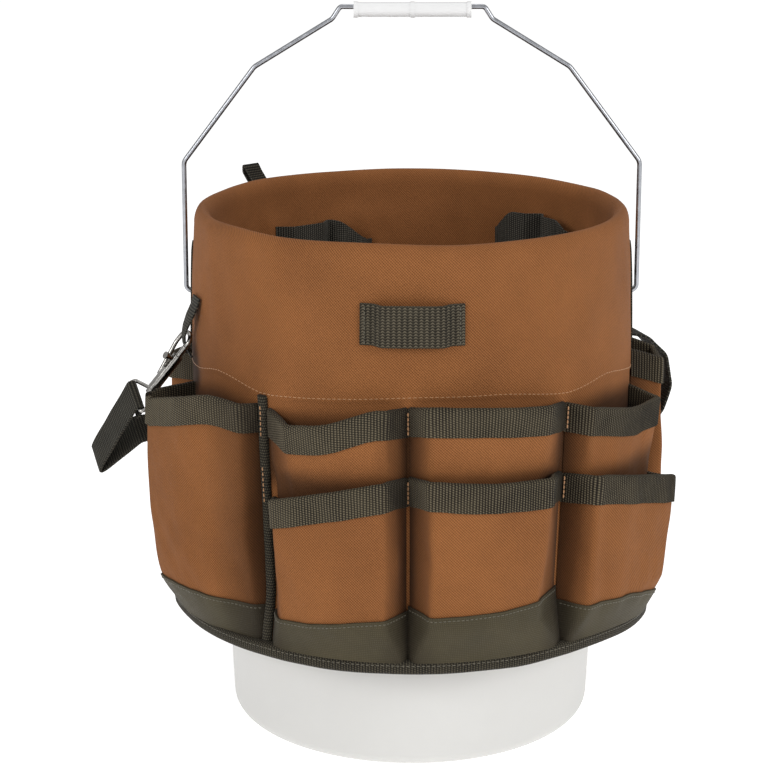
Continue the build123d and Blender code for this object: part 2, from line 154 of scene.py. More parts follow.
def drape(points):
    """The hem hangs lower at the right side than elsewhere."""
    angle = angle_of(points)
    sag = 9 * ease((angle - 42) / 40) * ease((150 - angle) / 45)
    hung = points.copy()
    hung[..., 2] -= sag * ease((150 - points[..., 2]) / 62)
    return hung


# ---- Mesh building ----
def make_object(name, points, faces, weave, material, painted_shade=None):
    """A smooth mesh object in metres, with its weave coordinates in millimetres as its UV map.

    Painted shade, the last argument, darkens each point's colour from 0 to 1 where shade falls, as deep in a
    fold.
    """
    mesh = bpy.data.meshes.new(name)
    mesh.from_pydata((np.asarray(points) * to_metres).tolist(), [], faces)
    if painted_shade is not None:
        depth = mesh.attributes.new("painted_shade", "FLOAT", "POINT")
        depth.data.foreach_set("value", np.asarray(painted_shade, np.float32).ravel())
    corners = np.zeros(len(mesh.loops), np.int32)
    mesh.loops.foreach_get("vertex_index", corners)
    layer = mesh.uv_layers.new(name="weave")
    layer.data.foreach_set("uv", np.asarray(weave, np.float32)[corners].ravel())
    work = bmesh.new()
    work.from_mesh(mesh)
    bmesh.ops.remove_doubles(work, verts=work.verts, dist=1e-6)
    work.to_mesh(mesh)
    work.free()
    mesh.polygons.foreach_set("use_smooth", np.ones(len(mesh.polygons), bool))
    mesh.set_sharp_from_angle(angle=math.radians(50))
    mesh.materials.append(material)
    made = bpy.data.objects.new(name, mesh)
    bpy.context.scene.collection.objects.link(made)
    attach(made, "organizer")
    return made


def squares_of(rows, columns):
    """The numbers of a grid's points, and the four numbers of each of its squares."""
    index = np.arange(rows * columns).reshape(rows, columns)
    squares = np.stack([index[:-1, :-1], index[1:, :-1], index[1:, 1:], index[:-1, 1:]], axis=-1)
    return index, squares.reshape(-1, 4)


def normals_of(points, ring=False):
    """Unit normals of a grid of points. In a ring, the last row repeats the first."""
    along = np.gradient(points, axis=0)
    across = np.gradient(points, axis=1)
    if ring:
        along[0] = along[-1] = (points[1] - points[-2]) / 2
    normal = np.cross(along, across)
    return normal / np.maximum(np.linalg.norm(normal, axis=-1, keepdims=True), 1e-9)


def weave_of(points):
    """Distances along the rows and columns of a grid, in millimetres."""
    rows = run_along(points[:, points.shape[1] // 2])
    columns = run_along(points[points.shape[0] // 2])
    return np.stack(np.meshgrid(rows, columns, indexing="ij"), axis=-1)


def shell(name, outer, thickness, material, weave=None, keep=None, ring=False, painted_shade=None, inside=0.0):
    """Closed cloth from a grid of points on its outer side.

    keep says which squares of the grid it has. The painted shade is as for make_object, and is at least
    inside on the cloth's inner side, which lies in shade in the pockets' mouths.
    """
    inner = outer - normals_of(outer, ring) * thickness
    weave = weave_of(outer) if weave is None else weave
    index, squares = squares_of(*outer.shape[:2])
    count = index.size
    if keep is not None:
        squares = squares[keep.ravel()]
    edges = {}
    for square in squares.tolist():
        for first, last in zip(square, square[1:] + square[:1]):
            if edges.pop((last, first), None) is None:
                edges[(first, last)] = True
    if ring:
        ends = set(index[0].tolist()), set(index[-1].tolist())
        edges = {e: 1 for e in edges if not any(e[0] in end and e[1] in end for end in ends)}
    faces = squares.tolist() + (squares[:, ::-1] + count).tolist()
    faces += [(last, first, first + count, last + count) for first, last in edges]
    points = np.concatenate([outer.reshape(-1, 3), inner.reshape(-1, 3)])
    if painted_shade is not None:
        painted_shade = np.concatenate([painted_shade.ravel(), np.maximum(painted_shade, inside).ravel()])
    return make_object(name, points, faces, np.tile(weave.reshape(-1, 2), (2, 1)), material, painted_shade)


def tube(name, rings, weave, material, painted_shade=None):
    """A solid swept from one ring of points to the next, with both ends closed."""
    columns = rings.shape[1]
    rings = np.concatenate([rings, rings[:, :1]], axis=1)
    index, squares = squares_of(*rings.shape[:2])
    faces = squares.tolist()
    faces.append(index[0, :columns].tolist())
    faces.append(index[-1, :columns][::-1].tolist())
    if painted_shade is not None:
        painted_shade = np.repeat(painted_shade, columns + 1)
    return make_object(name, rings.reshape(-1, 3), faces, weave.reshape(-1, 2), material, painted_shade)


def ring_body(name, rings, material):
    """A closed ring swept round the bucket."""
    rings = np.concatenate([rings, rings[:, :1]], axis=1)
    squares = squares_of(*rings.shape[:2])[1]
    weave = weave_of(rings).reshape(-1, 2)
    return make_object(name, rings.reshape(-1, 3), squares.tolist(), weave, material)


def rounded(corners, radii, step=0.8):
    """A path in a plane through corners, each rounded with its own radius, as evenly spaced points."""
    corners = [np.array(corner, float) for corner in corners]
    path = [corners[0]]
    for before, corner, after, radius in zip(corners, corners[1:], corners[2:], radii):
        length_back = np.linalg.norm(before - corner)
        length_on = np.linalg.norm(after - corner)
        back = (before - corner) / length_back
        on = (after - corner) / length_on
        half = math.acos(float(np.clip(np.dot(back, on), -1, 1))) / 2
        reach = min(radius / math.tan(half), 0.49 * length_back, 0.49 * length_on)
        for share in np.linspace(0, 1, 9):
            first = corner + back * reach * (1 - share)
            path.append(first + (corner + on * reach * share - first) * share)
    path.append(corners[-1])
    path = np.array(path)
    runs = run_along(path)
    return evenly(path, np.linspace(0, runs[-1], max(8, int(runs[-1] / step))), runs)


def band(name, line, across, width, thickness, material, wave, seed):
    """Flat webbing along a line of points. across is its width's direction, and wave how much it ripples."""
    across = np.asarray(across, float) / np.linalg.norm(across)
    places = np.linspace(-0.5, 0.5, 9)
    outer = line[:, None, :] + across * (places * width)[None, :, None]
    normal = normals_of(outer)
    along, side = np.meshgrid(run_along(line), places, indexing="ij")
    lift = wave * rumple(along / 16, side * 1.2, seed) + rib_rise * np.cos(along * 2 * np.pi / rib_pitch)
    outer = outer + normal * (thickness / 2 + lift[..., None])
    weave = np.stack([along, side * width], axis=-1)
    return shell(name, outer, thickness, material, weave)


# ---- Stitches ----
stitch_sides = 6
# Along a stitch: the share of its length, its thickness as a share, and how far it stands off the cloth.
stitch_shape = ((0, 0.35, -0.1), (0.2, 1, 0.12), (0.8, 1, 0.12), (1, 0.35, -0.1))
first_stitch = 0.8
look_ahead = 0.3
stitches = {"tan": [], "dark": []}


def stitch(line, lift, colour, length, space, radius):
    """A row of stitches along a line of points, raised along lift, one direction for each point."""
    runs = run_along(line)
    turns = np.linspace(0, 2 * math.pi, stitch_sides, endpoint=False)
    for start in np.arange(first_stitch, runs[-1] - length, space):
        rings = []
        for share, size, stand in stitch_shape:
            place = start + share * length
            centre = evenly(line, place, runs)
            up = evenly(lift, place, runs)
            ahead = evenly(line, place + look_ahead, runs) - centre
            ahead = ahead / max(np.linalg.norm(ahead), 1e-9)
            side = np.cross(ahead, up)
            side = side / max(np.linalg.norm(side), 1e-9)
            rings.append([
                centre
                + up * (stand + radius * size * math.sin(turn))
                + side * radius * 1.1 * size * math.cos(turn)
                for turn in turns
            ])
        stitches[colour].append(rings)


def build_stitches(colour, material):
    """One mesh of all the stitches of a colour."""
    points = []
    faces = []
    for rings in stitches[colour]:
        base = len(points)
        for ring in rings:
            points += ring
        for k in range(len(rings) - 1):
            for j in range(stitch_sides):
                a = base + k * stitch_sides + j
                b = base + k * stitch_sides + (j + 1) % stitch_sides
                faces.append((a, b, b + stitch_sides, a + stitch_sides))
        last = base + (len(rings) - 1) * stitch_sides
        faces.append(tuple(range(base + stitch_sides - 1, base - 1, -1)))
        faces.append(tuple(range(last, last + stitch_sides)))
    points = np.array(points)
    return make_object(f"stitches_{colour}", points, faces, points[:, :2], material)


# ---- Materials ----
class Nodes:
    """A material's node tree, with short calls for the nodes that the materials share."""

    def __init__(self, name, **sockets):
        self.material = bpy.data.materials.new(name)
        self.material.use_nodes = True
        self.tree = self.material.node_tree
        self.shader = self.tree.nodes["Principled BSDF"]
        for socket, value in sockets.items():
            self.shader.inputs[socket.replace("_", " ")].default_value = value

    def add(self, kind, **inputs):
        """A new node with values or links on its named inputs."""
        node = self.tree.nodes.new(kind)
        for name, value in inputs.items():
            self.put(node.inputs[name.replace("_", " ")], value)
        return node

    def put(self, socket, value):
        """Link another node's output to an input, or set the input's value."""
        if isinstance(value, bpy.types.NodeSocket):
            self.tree.links.new(value, socket)
        else:
            socket.default_value = value

    def maths(self, operation, first, second=0.0, third=0.0):
        """A Math node's result."""
        node = self.tree.nodes.new("ShaderNodeMath")
        node.operation = operation
        for socket, value in zip(node.inputs, (first, second, third)):
            self.put(socket, value)
        return node.outputs[0]

    def weave(self):
        """The weave coordinates, in millimetres along and across."""
        node = self.tree.nodes.new("ShaderNodeUVMap")
        node.uv_map = "weave"
        split = self.add("ShaderNodeSeparateXYZ", Vector=node.outputs["UV"])
        return split.outputs["X"], split.outputs["Y"]

    def noise(self, scale, detail=3.0, roughness=0.55):
        """Noise from 0 to 1 that is fixed to the object."""
        place = self.tree.nodes.new("ShaderNodeTexCoord").outputs["Object"]
        node = self.add("ShaderNodeTexNoise", Vector=place, Scale=scale, Detail=detail, Roughness=roughness)
        return node.outputs["Fac"]

    def wave(self, value, pitch, phase=0.0):
        """A sine from 0 to 1 along a coordinate."""
        turn = self.maths("MULTIPLY_ADD", value, 2 * math.pi / pitch, phase)
        return self.maths("MULTIPLY_ADD", self.maths("SINE", turn), 0.5, 0.5)

    def mix(self, share, first, last):
        """A colour between two, each of them red, green and blue or another node's output."""
        node = self.tree.nodes.new("ShaderNodeMix")
        node.data_type = "RGBA"
        self.put(node.inputs["Factor"], share)
        self.put(node.inputs["A"], first if isinstance(first, bpy.types.NodeSocket) else (*first, 1))
        self.put(node.inputs["B"], last if isinstance(last, bpy.types.NodeSocket) else (*last, 1))
        return node.outputs["Result"]

    def paint_shade(self, colour):
        """The colour darkened by painted shade from the mesh: deep in pleats, in mouths and behind the snap.
        """
        node = self.tree.nodes.new("ShaderNodeAttribute")
        node.attribute_name = "painted_shade"
        return self.mix(self.maths("MULTIPLY", node.outputs["Fac"], 0.9), colour, (0.010, 0.006, 0.004))

    def finish(self, colour, height, strength, distance, rough_low=None, rough_high=None, rough=None):
        """Set the colour, the bump and the range of roughness, and return the material."""
        self.put(self.shader.inputs["Base Color"], colour)
        bump = self.add("ShaderNodeBump", Height=height, Strength=strength, Distance=distance)
        self.put(self.shader.inputs["Normal"], bump.outputs["Normal"])
        if rough is not None:
            span = self.maths("MULTIPLY_ADD", rough, rough_high - rough_low, rough_low)
            self.put(self.shader.inputs["Roughness"], span)
        return self.material


def cloth_material(name, dark, light):
    """Plain-woven cloth with a fine slanting grain and uneven dye."""
    pitch = 2.0
    n = Nodes(name, Sheen_Weight=0.03, Specular_IOR_Level=0.08)
    x, y = n.weave()
    warp = n.wave(n.maths("ADD", x, y), pitch)
    weft = n.wave(n.maths("SUBTRACT", x, y), pitch * 0.9, 1.0)
    grain = n.maths("MULTIPLY_ADD", warp, 0.65, n.maths("MULTIPLY", weft, 0.35))
    speck = n.noise(900, 2)
    blotch = n.noise(16, 3)
    share = n.maths("MULTIPLY_ADD", grain, 0.6, n.maths("MULTIPLY", speck, 0.3))
    share = n.maths("MULTIPLY_ADD", blotch, 0.45, share)
    share = n.maths("SUBTRACT", share, 0.16)
    height = n.maths("MULTIPLY_ADD", speck, 0.5, grain)
    # Painted shade from the mesh's per-point values darkens the colour.
    return n.finish(n.paint_shade(n.mix(share, dark, light)), height, 0.5, 0.0004, 0.72, 0.9, blotch)


def webbing_material(name, dark, light, rib=rib_pitch):
    """Ribbed webbing: raised ribs across it, crossed by a finer weft."""
    n = Nodes(name, Sheen_Weight=0.03, Specular_IOR_Level=0.1)
    x, y = n.weave()
    ribs = n.maths("POWER", n.wave(x, rib), 1.3)
    weft = n.wave(n.maths("MULTIPLY_ADD", x, 0.4, y), 1.6)
    blotch = n.noise(45, 4)
    share = n.maths("MULTIPLY", ribs, n.maths("MULTIPLY_ADD", weft, 1.3, 0.05))
    share = n.maths("MULTIPLY_ADD", blotch, 0.4, n.maths("SUBTRACT", share, 0.12))
    height = n.maths("MULTIPLY_ADD", weft, 0.4, ribs)
    # Painted shade from the mesh's per-point values darkens the colour.
    return n.finish(n.paint_shade(n.mix(share, dark, light)), height, 0.7, 0.0006, 0.6, 0.85, blotch)


def herringbone_material(name, dark, light):
    """Webbing woven in slanting ribs that change direction from one column to the next."""
    column_width = 1.7
    n = Nodes(name, Sheen_Weight=0.03, Specular_IOR_Level=0.1)
    x, y = n.weave()
    column = n.maths("PINGPONG", x, column_width)
    ribs = n.wave(n.maths("MULTIPLY_ADD", column, 0.7, y), 1.9)
    edge = n.wave(x, 2 * column_width, math.pi / 2)
    blotch = n.noise(60, 3)
    share = n.maths("MULTIPLY", ribs, n.maths("MULTIPLY_ADD", edge, 0.9, 0.25))
    share = n.maths("MULTIPLY_ADD", blotch, 0.4, n.maths("SUBTRACT", share, 0.12))
    return n.finish(n.mix(share, dark, light), ribs, 0.7, 0.0006, 0.6, 0.85, blotch)


def coarse_material(name, dark, light):
    """Coarse coated nylon: a basket weave with a dull shine."""
    n = Nodes(name, Sheen_Weight=0.03, Specular_IOR_Level=0.15)
    x, y = n.weave()
    basket = n.maths("MULTIPLY", n.wave(x, 1.5), n.wave(y, 1.5))
    speck = n.noise(700, 2)
    blotch = n.noise(30, 3)
    share = n.maths("MULTIPLY_ADD", basket, 0.5, n.maths("MULTIPLY", speck, 0.25))
    share = n.maths("MULTIPLY_ADD", blotch, 0.45, n.maths("SUBTRACT", share, 0.08))
    # Painted shade from the mesh's per-point values darkens the colour.
    return n.finish(n.paint_shade(n.mix(share, dark, light)), basket, 0.5, 0.0005, 0.5, 0.75, blotch)


def thread_material(name, dark, light):
    """Twisted sewing thread."""
    n = Nodes(name, Sheen_Weight=0.3)
    speck = n.noise(1200, 2)
    return n.finish(n.mix(speck, dark, light), speck, 0.3, 0.0002, 0.45, 0.7, speck)


def plastic_material(name, dark, light, rough):
    """Moulded plastic with a faint orange peel and handling marks."""
    n = Nodes(name, IOR=1.49)
    peel = n.noise(650, 2)
    marks = n.noise(14, 5, 0.65)
    return n.finish(n.mix(marks, dark, light), peel, 0.08, 0.0003, rough - 0.08, rough + 0.12, marks)


def metal_material(name, dark, light, rough):
    """Bright metal with faint drawing marks and dulled patches."""
    n = Nodes(name, Metallic=1.0)
    marks = n.noise(220, 4, 0.6)
    fine = n.noise(1500, 2)
    return n.finish(n.mix(marks, dark, light), fine, 0.12, 0.0002, rough - 0.06, rough + 0.12, marks)


brown = cloth_material("brown_cloth", (0.060, 0.020, 0.006), (0.375, 0.148, 0.050))
olive = webbing_material("olive_webbing", (0.005, 0.004, 0.003), (0.150, 0.124, 0.080))
olive_loop = herringbone_material("olive_herringbone", (0.005, 0.004, 0.003), (0.115, 0.098, 0.068))
black = webbing_material("dark_webbing", (0.006, 0.006, 0.005), (0.085, 0.077, 0.058))
grey_black = webbing_material("worn_dark_webbing", (0.006, 0.006, 0.005), (0.12, 0.11, 0.09), 1.9)
nylon = coarse_material("coarse_nylon", (0.028, 0.023, 0.012), (0.094, 0.077, 0.042))
tape = webbing_material("dark_binding", (0.007, 0.006, 0.005), (0.085, 0.074, 0.050), 1.9)
tan_thread = thread_material("tan_thread", (0.30, 0.135, 0.052), (0.54, 0.29, 0.13))
dark_thread = thread_material("dark_thread", (0.02, 0.018, 0.012), (0.16, 0.14, 0.09))
white_plastic = plastic_material("bucket_plastic", (0.60, 0.595, 0.575), (0.66, 0.655, 0.635), 0.42)
grip_plastic = plastic_material("grip_plastic", (0.70, 0.70, 0.70), (0.78, 0.78, 0.78), 0.30)
steel = metal_material("bail_steel", (0.22, 0.23, 0.25), (0.50, 0.51, 0.54), 0.26)
nickel = metal_material("snap_nickel", (0.13, 0.125, 0.115), (0.60, 0.58, 0.55), 0.16)

for node, finish in (
    ("bucket", white_plastic),
    ("grip", grip_plastic),
    ("bail_wire", steel),
    ("snap_body", nickel),
    ("snap_bolt", nickel),
    ("snap_eye", nickel),
):
    nodes[node].data.materials.clear()
    nodes[node].data.materials.append(finish)

# ---- The cover: outer skirt, fold over the rim and inner skirt as one cloth ----
cover_columns = 721


def seam_z(angle):
    """The height of the seam under the upper panel, rounded off between its points."""
    angles, heights = zip(*seam_line)
    total = 0.0
    for shift, weight in ((-4, 0.25), (0, 0.5), (4, 0.25)):
        total = total + weight * np.interp(np.asarray(angle, float) + shift, angles, heights)
    return total


def skirt_surface(angle, z):
    """The outer skirt's outer side, with its soft waves, and the step where the upper panel laps over."""
    radius = at_height(skirt_radii, z)
    turn = np.radians(angle)
    loose = 0.35 + 0.9 * ease((z - 275) / 40) * ease((385 - z) / 30)
    waves = rumple(np.sin(turn) * 2.6, np.cos(turn) * 2.6 + z / 70, 3.1)
    small = rumple(np.sin(turn) * 9 + z / 40, np.cos(turn) * 9, 7.7)
    step = 0.7 * ease((z - seam_z(angle)) / 1.6 + 0.5)
    near_ear = np.exp(-((np.abs(angle) - 90) / 6) ** 2)
    radius = radius + loose * (waves + 0.35 * small) * (1 - 0.8 * near_ear) + step - 0.5
    return drape(polar(angle, radius, z))


def cover_grid():
    """Points of the cover, from the outer hem up, over the rim and down to the inner hem."""
    angle = np.linspace(-180, 180, cover_columns)
    turn = np.radians(angle)
    lift = 0.9 * rumple(np.sin(turn) * 2.2, np.cos(turn) * 2.2, 11.0)
    fat = 0.8 * rumple(np.sin(turn) * 3.1, np.cos(turn) * 3.1, 5.0)
    columns = []
    below_seam = np.linspace(90, 255, 34)
    at_seam = np.linspace(257, 284, 20)
    above_seam = np.linspace(287, rim_bend - 1, 26)
    for z in np.concatenate([below_seam, at_seam, above_seam]):
        columns.append(skirt_surface(angle, np.full_like(angle, z)))
    top = columns[-1]
    top_radius = np.hypot(top[:, 0], top[:, 1])
    for share in np.linspace(0.06, 1, 16):
        bend = math.pi * share
        outside = 0.5 * (1 + math.cos(bend))
        radius = rim_middle_radius + (rim_half_width + fat) * math.cos(bend)
        radius = radius * (1 - outside) + (top_radius - rim_half_width * (1 - math.cos(bend))) * outside
        z = rim_bend + (rim_top - rim_bend + lift) * math.sin(bend)
        columns.append(polar(angle, radius, z))
    last = np.hypot(columns[-1][:, 0], columns[-1][:, 1])
    for z in np.linspace(rim_bend - 3, 216, 40):
        plain = at_height(inner_radii, z) - cloth
        waves = rumple(np.sin(turn) * 3.4, np.cos(turn) * 3.4 + z / 60, 21.0)
        crease = rumple(np.sin(turn) * 8 + z / 30, np.cos(turn) * 8, 25.0)
        share = ease((rim_bend - z) / 26)
        inward = np.clip(2.6 * waves + 1.4 * crease, -0.4, 4.5) * share
        radius = last * (1 - share) + (plain - inward) * share
        columns.append(polar(angle, radius, np.full_like(angle, z)))
    return np.stack(columns, axis=1)


cover_points = cover_grid()
angle = angle_of(cover_points)
height = cover_points[..., 2]
on_skirt = np.hypot(cover_points[..., 0], cover_points[..., 1]) > rim_middle_radius
# Painted shade: the skirt's colour is darkest behind the pockets' mouths, where they shade it.
# It isn't where no pocket covers it: middle, half width.
bare_gaps = ((-89.0, 10.0), (81.5, 1.5), (107.5, 9.5))
mouth_shade = 0.85 * ease((seam_z(angle) - 4 - height) / 16) * ease((height - 195) / 20)
for middle, half_gap in bare_gaps:
    mouth_shade = mouth_shade * ease((np.abs(angle - middle) - half_gap) / 2)
# A painted shadow also darkens the skirt behind the snap.
snap_shadow = ease((-68 - angle) / 7) * ease((angle + 96) / 8)
snap_shadow = snap_shadow * ease((292 - height) / 26) * ease((height - 228) / 22)
# The skirt's painted shade: behind the pockets' mouths, and the snap's painted shadow.
cover_painted_shade = np.maximum(mouth_shade, 0.9 * snap_shadow) * on_skirt

middles = (cover_points[:-1, :-1] + cover_points[1:, 1:]) / 2
height = middles[..., 2]
outside = np.hypot(middles[..., 0], middles[..., 1]) > rim_middle_radius
from_slit = np.hypot(middles[..., 1], np.clip(np.abs(height - slit_middle) - slit_straight, 0, None))
in_slit = outside & (from_slit < slit_half_width + 0.4) & (height < slit_high + 1) & (height > slit_low - 1)
cover = shell(
    "cloth_cover", cover_points, cloth, brown, keep=~in_slit, ring=True, painted_shade=cover_painted_shade
)
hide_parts("outer_skirt", "inner_skirt")

# Topstitching on the seam under the upper panel.
around = np.linspace(-180, 180, 900)
row = skirt_surface(around, seam_z(around) + 2.2)
stitch(row, outward(row), "tan", 2.6, 3.6, 0.24)

# ---- Bags ----
path_points = 160
bag_rows = 130
bag_columns = 46
bag_levels = 58
# A bag's width along the cloth is measured at this level, near its rim.
width_level = 50
# The rims' heights are those of the webbing's fold. The cloth ends this much lower.
fold_over = 1.8


def seam_angle(angle, centre, z):
    """A seam's angle at a height. Panels are cut straight, so their seams draw together towards the hem."""
    drop = np.clip((seam_height - z) / (seam_height - seam_foot), 0, None)
    return centre + (angle - centre) * (1 - panel_slant * drop)


def arc_through(first, middle, last, count):
    """Points on the circle through three points, in plan."""
    (ax, ay), (bx, by), (cx, cy) = first, middle, last
    double_area = 2 * (ax * (by - cy) + bx * (cy - ay) + cx * (ay - by))
    a2 = ax * ax + ay * ay
    b2 = bx * bx + by * by
    c2 = cx * cx + cy * cy
    centre = np.array([
        (a2 * (by - cy) + b2 * (cy - ay) + c2 * (ay - by)) / double_area,
        (a2 * (cx - bx) + b2 * (ax - cx) + c2 * (bx - ax)) / double_area,
    ])
    turns = np.unwrap([math.atan2(p[1] - centre[1], p[0] - centre[0]) for p in (first, middle, last)])
    radius = math.hypot(ax - centre[0], ay - centre[1])
    turn = np.linspace(turns[0], turns[2], count)
    return centre + radius * np.stack([np.cos(turn), np.sin(turn)], axis=1)


class Bag:
    """A pleated pocket's outer side as a surface: share runs from seam to seam, z up.

    seams, margins, folds and behind are in degrees. folds is how far each side wall slants under the face.
    swell is how far the face stands out at its first corner, its middle and its last corner. rim is the top
    edge's height at the first seam, the first corner, the share dip, the last corner and the last seam.
    Below cover_height another bag hides this one, and its sides are tucked in by behind.
    """

    def __init__(
        self, seams, centre, radii, margins, folds, swell, rim, seed, dip=0.5, behind=0.0, cover_height=0.0
    ):
        self.seams = seams
        self.centre = centre
        self.radii = radii
        self.margins = margins
        self.folds = folds
        self.swell = swell
        self.seed = seed
        self.behind = behind
        self.cover_height = cover_height
        self.levels = np.linspace(pocket_floor - 3, max(rim) + 4, bag_levels)
        self.points = np.stack([self.section(z) for z in self.levels], axis=1)
        steps = np.linalg.norm(np.diff(self.points[:, width_level, :], axis=0), axis=1)
        self.length = float(steps.sum())
        self.wall = self.wall_length / self.length
        self.rim_places = (0, self.wall, dip, 1 - self.wall, 1)
        self.rim_heights = rim
        self.rumple_surface()
        self.points = drape(self.points)
        self.normals = normals_of(self.points)

    def section(self, z):
        """The bag's outline in plan at a height, with soft corners."""
        tucked_in = self.behind * float(ease((self.cover_height - z) / 18))
        tuck = min(1, tuck_at_hem + (1 - tuck_at_hem) * max(0, z - pocket_floor) / (base_top - pocket_floor))
        base = float(at_height(skirt_radii, z)) + gap
        face = float(at_height(self.radii, z))
        ends = []
        for index, side in enumerate((1, -1)):
            seam = seam_angle(self.seams[index], self.centre, z) + side * (self.margins[index] + tucked_in)
            corner = face + self.swell[2 * index] * tuck
            ends.append(polar(seam, base, 0)[:2])
            ends.append(polar(seam + side * self.folds[index] * tuck, corner, 0)[:2])
        middle = seam_angle(sum(self.seams) / 2, self.centre, z)
        front = polar(middle, face + self.swell[1] * tuck, 0)[:2]
        self.wall_length = float(np.linalg.norm(ends[1] - ends[0]))
        path = np.concatenate([ends[0][None], arc_through(ends[1], front, ends[3], 40), ends[2][None]])
        runs = run_along(path)
        path = evenly(path, np.linspace(0, runs[-1], path_points), runs)
        reach = 7
        kernel = np.exp(-(np.arange(-reach, reach + 1) / 3.2) ** 2)
        kernel = kernel / kernel.sum()
        soft = np.empty_like(path)
        for k in range(2):
            before = 2 * path[0, k] - path[reach:0:-1, k]
            after = 2 * path[-1, k] - path[-2:-reach - 2:-1, k]
            soft[:, k] = np.convolve(np.concatenate([before, path[:, k], after]), kernel, mode="valid")
        return np.column_stack([soft, np.full(path_points, z)])

    def rumple_surface(self):
        """Loose folds and creases on the face, dying away at the seams and the hem."""
        share, z = np.meshgrid(np.linspace(0, 1, path_points), self.levels, indexing="ij")
        along = share * self.length
        free = ease(np.minimum(share, 1 - share) / 0.12) * ease((z - pocket_floor) / 30)
        waves = rumple(along / 34, z / 55, self.seed)
        creases = rumple(along / 13 + z / 26, z / 30 - along / 60, self.seed + 4)
        fine = rumple(along / 6, z / 16, self.seed + 8)
        lift = free * (1.7 * waves + 0.5 * creases + 0.1 * fine)
        self.points = self.points + normals_of(self.points) * lift[..., None]

    def pleat_depth(self, share):
        """How deep in a pleat the cloth lies, from 0 on the face to 1 at a seam."""
        return np.clip(1 - np.minimum(share, 1 - share) / (self.wall * 1.15), 0, 1)

    def rim(self, share):
        """The height of the cloth's top edge, which sags between its seams and corners."""
        total = 0.0
        for shift, weight in ((-0.05, 0.25), (0, 0.5), (0.05, 0.25)):
            total = total + weight * np.interp(np.asarray(share) + shift, self.rim_places, self.rim_heights)
        return total - fold_over

    def sample(self, share, z, out=0.0):
        """Points on the surface, moved out from it."""
        share, z, out = np.broadcast_arrays(*(np.asarray(values, float) for values in (share, z, out)))
        across = np.clip(share, 0, 1) * (path_points - 1)
        up = np.interp(z, self.levels, np.arange(bag_levels))
        column = np.minimum(across.astype(int), path_points - 2)
        level = np.minimum(up.astype(int), bag_levels - 2)
        on = (across - column)[..., None]
        rise = (up - level)[..., None]
        found = []
        for field in (self.points, self.normals):
            below = field[column, level] * (1 - on) + field[column + 1, level] * on
            above = field[column, level + 1] * (1 - on) + field[column + 1, level + 1] * on
            found.append(below * (1 - rise) + above * rise)
        return found[0] + found[1] * out[..., None]


def build_cloth(bag, name):
    """The bag's cloth, up to its top edge. An upper bag has painted shade where it goes down behind the lower
    one.
    """
    share, up = np.meshgrid(np.linspace(0, 1, bag_rows), np.linspace(0, 1, bag_columns), indexing="ij")
    z = pocket_floor + up * (bag.rim(share) - pocket_floor)
    # Painted shade deep in the pleats and, on an upper bag, where the lower bag shades it.
    painted_shade = 0.85 * bag.pleat_depth(share)
    if bag.cover_height:
        painted_shade = np.maximum(painted_shade, 0.75 * ease((bag.cover_height + 4 - z) / 16))
    weave = np.stack([share * bag.length, z], axis=-1)
    # The cloth's inner side has painted shade, for the pockets' shaded mouths.
    made = shell(name, bag.sample(share, z), cloth, brown, weave, painted_shade=painted_shade, inside=0.85)
    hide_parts(name.replace("bag_", "pocket_"))


trim_step = 0.42
trim_rib_rise = 0.16


def build_trim(bag, name):
    """Ribbed webbing folded over the bag's top edge."""
    count = int(bag.length / trim_step)
    out = gap + webbing
    profile = [(gap, -trim_height)]
    profile += [(out, -trim_height * k / 6) for k in range(6, 0, -1)]
    profile += [(out, -0.8), (out - 0.5, 0.7), (-cloth / 2, 1.5)]
    profile += [(-cloth - out + 0.5, 0.7), (-cloth - out, -0.8), (-cloth - out, -trim_height + 3)]
    profile += [(-cloth - gap, -trim_height + 3), (-cloth - gap, -0.2)]
    profile += [(-cloth / 2, 0.25), (gap, -0.2), (gap, -trim_height / 2)]
    outs, rises = np.array(profile).T
    share = np.linspace(0.0, 1.0, count)
    along = share * bag.length
    rib = trim_rib_rise * np.cos(along * 2 * np.pi / rib_pitch)
    skin = np.where((outs >= out - 0.6) | (rises > 0.5), 1.0, 0.0)
    uneven = 0.35 * rumple(along / 22, along * 0, bag.seed + 2)
    out_grid = outs[None, :] + rib[:, None] * skin[None, :]
    z = bag.rim(share)[:, None] + rises[None, :] + uneven[:, None] * (rises[None, :] < -trim_height + 3.5)
    rings = bag.sample(share[:, None] + 0 * z, z, out_grid)
    run = np.concatenate([[0], np.cumsum(np.hypot(np.diff(outs), np.diff(rises)))])
    run = np.append(run, run[-1] + trim_height / 2)
    weave = np.stack(np.meshgrid(along, run, indexing="ij"), axis=-1)
    # The edging has painted shade where it dips into the pleats.
    made = tube(name, rings, weave, olive, 0.55 * bag.pleat_depth(share))
    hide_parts(name.replace("edging_", "trim_"))


base_thickness = 1.1


def build_base(bag, name, tops):
    """The coarse strip over the bag's bottom, with a row of stitches along its top edge."""
    share, up = np.meshgrid(np.linspace(0, 1, bag_rows), np.linspace(0, 1, 14), indexing="ij")
    top = np.interp(share, bag.rim_places, tops)
    z = pocket_floor - 1 + up * (top - pocket_floor + 1)
    weave = np.stack([share * bag.length, z], axis=-1)
    # Painted shade deep in the pleats.
    painted_shade = 0.8 * bag.pleat_depth(share)
    outer = bag.sample(share, z, gap + base_thickness)
    made = shell(name, outer, base_thickness, nylon, weave, painted_shade=painted_shade)
    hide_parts(name.replace("bottom_", "base_"))
    line = np.linspace(0.01, 0.99, 120)
    edge = np.interp(line, bag.rim_places, tops) - 2.2
    row = bag.sample(line, edge, gap + 1.15)
    stitch(row, bag.sample(line, edge, gap + 2.15) - row, "dark", 1.9, 3.0, 0.3)


